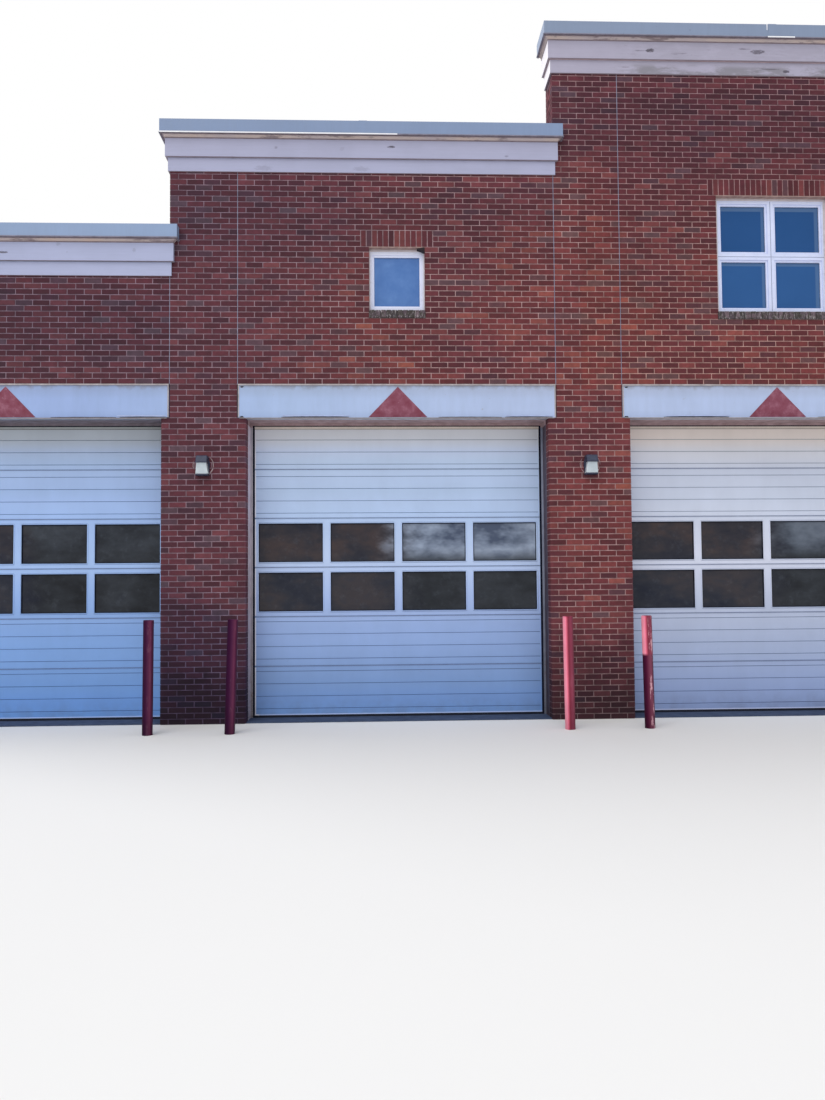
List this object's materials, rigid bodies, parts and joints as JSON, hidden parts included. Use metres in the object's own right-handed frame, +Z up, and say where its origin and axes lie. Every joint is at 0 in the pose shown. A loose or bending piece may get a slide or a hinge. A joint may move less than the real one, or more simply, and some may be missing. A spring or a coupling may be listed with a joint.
{
  "type": "fire station building",
  "caption": "Brick fire station hall with a stepped front, overhead sectional doors, white lintels, moulded cornices, high windows and bollards.",
  "frame": {"origin": "on the ground at the middle of the brick walls' plan", "axes": "+X along the front to the right as seen from outside, +Y from the front to the back, +Z up"},
  "size_m": [24.8548, 19.5635, 8.5471],
  "materials": {
    "brick": "wire-cut dark red face brick with pinkish grey mortar",
    "concrete": "trowelled concrete",
    "lintel_white": "white painted sheet, weathered along its edges",
    "triangle_red": "weathered red paint",
    "sealant": "grey sealant",
    "trim_white": "off-white painted boards with dark weather streaks",
    "trim_tan": "tan painted moulding",
    "coping_metal": "grey-blue coated sheet",
    "door_white": "white coated ribbed steel",
    "door_glass": "dark glazing",
    "door_steel": "grey-brown painted steel with some rust",
    "seal_black": "black weather seal",
    "window_white": "white window frame",
    "window_glass": "dark blue glazing",
    "lamp_metal": "dark blue-grey cast metal",
    "lamp_lens": "translucent white ribbed lens",
    "bollard_red": "dark red paint, scraped",
    "roof_metal": "standing seam sheet",
    "gutter_white": "white coated sheet"
  },
  "bodies": {
    "root": {"front_pier_1": "brick", "front_pier_2": "brick", "front_pier_3": "brick", "front_pier_4": "brick", "front_pier_5": "brick", "front_pier_6": "brick", "wall_over_door_1": "brick", "wall_over_door_2": "brick", "wall_over_door_3": "brick", "wall_over_door_4": "brick", "wall_over_door_5": "brick", "side_wall_left": "brick", "side_wall_right": "brick", "back_wall": "brick", "floor_slab": "concrete", "door_lintels": "lintel_white", "lintel_triangles": "triangle_red", "control_joint_sealant": "sealant", "cornice_frieze": "trim_white", "cornice_fascia": "trim_white", "cornice_crown": "trim_tan", "metal_coping": "coping_metal", "door_1": "door_white", "door_2": "door_white", "door_3": "door_white", "door_4": "door_white", "door_5": "door_white", "door_glass": "door_glass", "door_frames": "door_steel", "door_seals": "seal_black", "window_sills": "brick", "window_frames": "window_white", "window_glass": "window_glass", "lamp_housings": "lamp_metal", "lamp_lenses": "lamp_lens", "bollards": "bollard_red", "roof_left": "roof_metal", "roof_right": "roof_metal", "ridge_cap": "roof_metal", "eave_fascias": "trim_white", "rake_boards": "trim_white", "gutters": "gutter_white", "downspouts": "gutter_white", "downspout_brackets": "gutter_white"}
  },
  "joints": []
}
